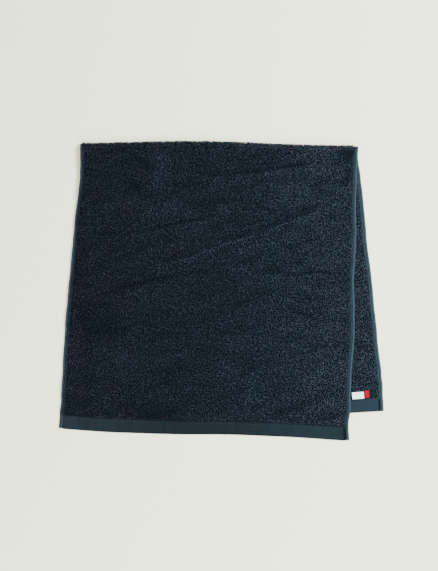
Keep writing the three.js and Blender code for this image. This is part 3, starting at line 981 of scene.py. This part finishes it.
def spindles(turn, length, radius):
    """Stitches as grains of thread, turned in the plane of the cloth: the points and quads of each.
    Axis 0: the stitch, 1: the point, 2: across, along and up."""
    reach = np.array([-0.5, -0.3, 0.3, 0.5])
    thick = np.array([0.35, 1.0, 1.0, 0.35])
    sink = np.array([-0.8, 0.0, 0.0, -0.8])
    angle = np.pi / 4 + np.pi / 2 * np.arange(4)
    run = np.repeat(reach, 4) * length[:, None]
    beside = (thick[:, None] * np.cos(angle)).ravel() * radius
    up = (thick[:, None] * np.sin(angle) * 0.8 + sink[:, None]).ravel() * radius
    up = np.broadcast_to(up, run.shape)
    cos, sin = np.cos(turn)[:, None], np.sin(turn)[:, None]
    places = np.stack([run * cos - beside * sin, run * sin + beside * cos, up], -1)
    quads = np.concatenate([ring_quads(4, 4), [[3, 2, 1, 0], [12, 13, 14, 15]]])
    return places, quads + (np.arange(len(turn)) * 16)[:, None, None]


def make_stitches(name, rows, material, seed):
    """Sewing on the cloth. rows: u, s, face, height over the middle surface and direction of each stitch."""
    rng = np.random.default_rng(seed)
    u, s, face, height, turn = (np.concatenate(column)[:, None] for column in zip(*rows))
    count = len(u)
    turns = turn[:, 0] + rng.normal(0, 0.06, count)
    lengths = STITCH.length * rng.uniform(0.9, 1.08, count)
    places, quads = spindles(turns, lengths, STITCH.radius)
    out = face * (height + places[..., 2])
    points = cloth_points(u + places[..., 0], s + places[..., 1], out).reshape(-1, 3)
    # On the outer face the cloth's own coordinates are a mirror image of the frame's
    quads = np.where(face[:, :, None] > 0, quads[:, :, ::-1], quads)
    return make_mesh(name, points, quads, [material], lowest=0.02)


def side_rows():
    """Stitches along the side hems between the bands: on the outer face, and the inner one where it shows."""
    rows = []
    for left, face in ((True, 1.0), (False, 1.0), (False, -1.0)):
        top, bottom = hem_ends(left)
        start = top - BAND_LENGTH if face > 0 else STITCH_INNER_FROM
        s = np.arange(start, BAND_LENGTH - bottom, -STITCH.pitch)
        u = np.full_like(s, STITCH.side if left else CLOTH_WIDTH - STITCH.side)
        height = STITCH.height * flap_height(np.where(s > 0, top, bottom) - np.abs(s))
        turn = np.full_like(s, math.pi / 2 + STITCH_SLANT.side)
        rows.append((u, s, np.full_like(s, face), height, turn))
    return rows


def end_rows():
    """Stitches across the end bands."""
    rows = []
    for layer, sign, face in ((upper, 1.0, 1.0), (lower, -1.0, 1.0), (lower, -1.0, -1.0)):
        u = np.arange(HEM_WIDTH + 4, CLOTH_WIDTH - HEM_WIDTH - 4, STITCH.pitch)
        s = sign * (end_of(layer, u) - STITCH.end)
        values = (face, BAND_THICKNESS / 2, STITCH_SLANT.end)
        rows.append((u, s, *(np.full_like(u, value) for value in values)))
    return rows


# Labels


class Tape:
    """A label's place: from its middle and over its middle surface to plan coordinates."""

    def __init__(self, node, size):
        self.middle = middle_of(node) - SHIFT - (0, size.down, 0)
        self.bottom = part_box(node)[0][2] / MM + TAPE.lift + TAPE.thickness / 2
        self.width, self.height = size.width, size.height
        self.turn = math.radians(size.turn)

    def points(self, across, along, height):
        share = along / self.height + 0.5
        side = across / self.width
        curl = TAPE.curl * share**2 * mix(1, 0.35, np.cos(np.pi * side))
        pucker = TAPE.pucker * share * np.sin(2 * np.pi * (side * 1.7 + share * 0.6))
        x = self.middle[0] + across * math.cos(self.turn) - along * math.sin(self.turn)
        y = self.middle[1] + across * math.sin(self.turn) + along * math.cos(self.turn)
        return np.stack([x, y, self.bottom + curl + pucker + height], -1)


def make_tape(name, tape, material):
    """A woven label: a thin soft plate with rounded edges, its two ends turned under."""
    across, along = (
        spread(0.0, (0.35, 1), (1.0, 1), (size - 1.0, steps), (size - 0.35, 1), (size, 1)) - size / 2
        for size, steps in ((tape.width, 22), (tape.height, 14))
    )
    rings, uv, shade = [], [], []
    for place in across:
        from_end = tape.width / 2 - abs(place)
        thick = 1 + 0.5 * (1 - smooth(TAPE.turned_end - 0.4, TAPE.turned_end + 0.4, from_end))
        edge = np.sqrt(smooth(-0.12, 0.6, np.minimum(from_end, tape.height / 2 - np.abs(along))))
        half = TAPE.thickness / 2 * thick * edge
        flat = np.full_like(along, place)
        rings.append(np.concatenate([tape.points(flat, along, half), tape.points(flat, along, -half)[::-1]]))
        uv.append(np.stack([np.tile(flat, 2), np.concatenate([along, along[::-1]])], -1))
        # Painted shade along the fold of each turned end
        fold_shade = 0.45 * math.exp(-(((from_end - TAPE.turned_end) / 0.35) ** 2))
        shade.append(np.full(2 * len(along), fold_shade))
    around = 2 * len(along)
    faces = np.concatenate([ring_quads(len(rings), around), flat_caps(len(rings), around)])
    return make_mesh(name, np.concatenate(rings), faces[:, ::-1], [material], uv=uv, shade=shade)


def make_tape_stitches(name, tape, material):
    """Two short rows of stitches that hold a label's turned ends."""
    row = np.arange(-tape.height / 2 + 1.6, tape.height / 2 - 1.2, TAPE_STITCH.pitch)
    along = np.tile(row, 2)
    across = np.repeat([-1, 1], len(row)) * (tape.width / 2 - TAPE_STITCH.side)
    turns, lengths = (np.full(len(along), value) for value in (math.pi / 2, TAPE_STITCH.length))
    places, quads = spindles(turns, lengths, TAPE_STITCH.radius)
    height = TAPE.thickness * 0.75 + 0.06 + places[..., 2]
    points = tape.points(across[:, None] + places[..., 0], along[:, None] + places[..., 1], height)
    return make_mesh(name, points.reshape(-1, 3), quads, [material])


# Camera, light and floor


def make_camera():
    look_at = SHIFT * MM
    tilt = math.radians(CAMERA_TILT)
    away = CAMERA_DISTANCE * MM
    data = bpy.data.cameras.new("camera")
    data.lens = CAMERA_LENS
    data.sensor_width = CAMERA_SENSOR
    data.clip_start, data.clip_end = 0.05, 20.0
    camera = add_object("camera", data)
    camera.location = (look_at[0], look_at[1] - away * math.sin(tilt), away * math.cos(tilt))
    camera.rotation_euler = (tilt, 0, 0)
    bpy.context.scene.camera = camera


def area_light(name, place, target, size, power, color):
    data = bpy.data.lights.new(name, "AREA")
    data.shape = "DISK"
    data.size = size
    data.energy = power
    data.color = color
    light = add_object(name, data)
    light.location = place
    light.rotation_euler = (Vector(target) - Vector(place)).to_track_quat("-Z", "Y").to_euler()


def make_lights():
    """A soft key light at the back right, a fill from the front, and a pale room."""
    area_light("key", (2.5, 1.2, 2.1), (0.05, 0, 0), 1.2, 380, (0.93, 1.0, 1.05))
    area_light("fill", (0.1, -1.7, 1.5), (0, -0.3, 0), 1.8, 85, (0.98, 1.0, 1.0))
    world = bpy.data.worlds.new("studio")
    world.use_nodes = True
    background = world.node_tree.nodes["Background"]
    background.inputs["Color"].default_value = (0.98, 1.0, 0.95, 1)
    background.inputs["Strength"].default_value = 1.0
    bpy.context.scene.world = world


def make_floor():
    bpy.ops.mesh.primitive_plane_add(size=12)
    floor = bpy.context.object
    floor.name = "floor"
    floor.location.z = -0.0002
    floor.data.materials.append(Nodes("floor_paper", (0.87, 0.87, 0.62), 0.9).material)


make_camera()
make_lights()
make_floor()

ground = make_ground()
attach(ground, "root")
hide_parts("towel")

u, s, face = loop_roots()
LOOP_PARTS = 4
on_cloth = []
for n in range(LOOP_PARTS):
    chosen = slice(n * len(u) // LOOP_PARTS, (n + 1) * len(u) // LOOP_PARTS)
    on_cloth.append(make_loops(f"loops_{n + 1}", u[chosen], s[chosen], face[chosen], SEED + 10 + n))
on_cloth += [make_hem("hem_left", True), make_hem("hem_right", False)]
on_cloth.append(make_stitches("stitches_side", side_rows(), SIDE_THREAD, SEED + 20))
on_cloth.append(make_stitches("stitches_end", end_rows(), END_THREAD, SEED + 21))
for piece in on_cloth:
    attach(piece, "root")

tapes = [
    ("label", "label_white", LABEL, WHITE_TAPE, WHITE_THREAD),
    ("label_tab", "label_red", TAB, RED_TAPE, RED_THREAD),
]
for node, slot, size, cloth, thread in tapes:
    tape = Tape(node, size)
    woven = make_tape(f"{node}_tape", tape, cloth)
    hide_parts(node)
    for piece in (woven, make_tape_stitches(f"{node}_stitches", tape, thread)):
        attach(piece, "root")
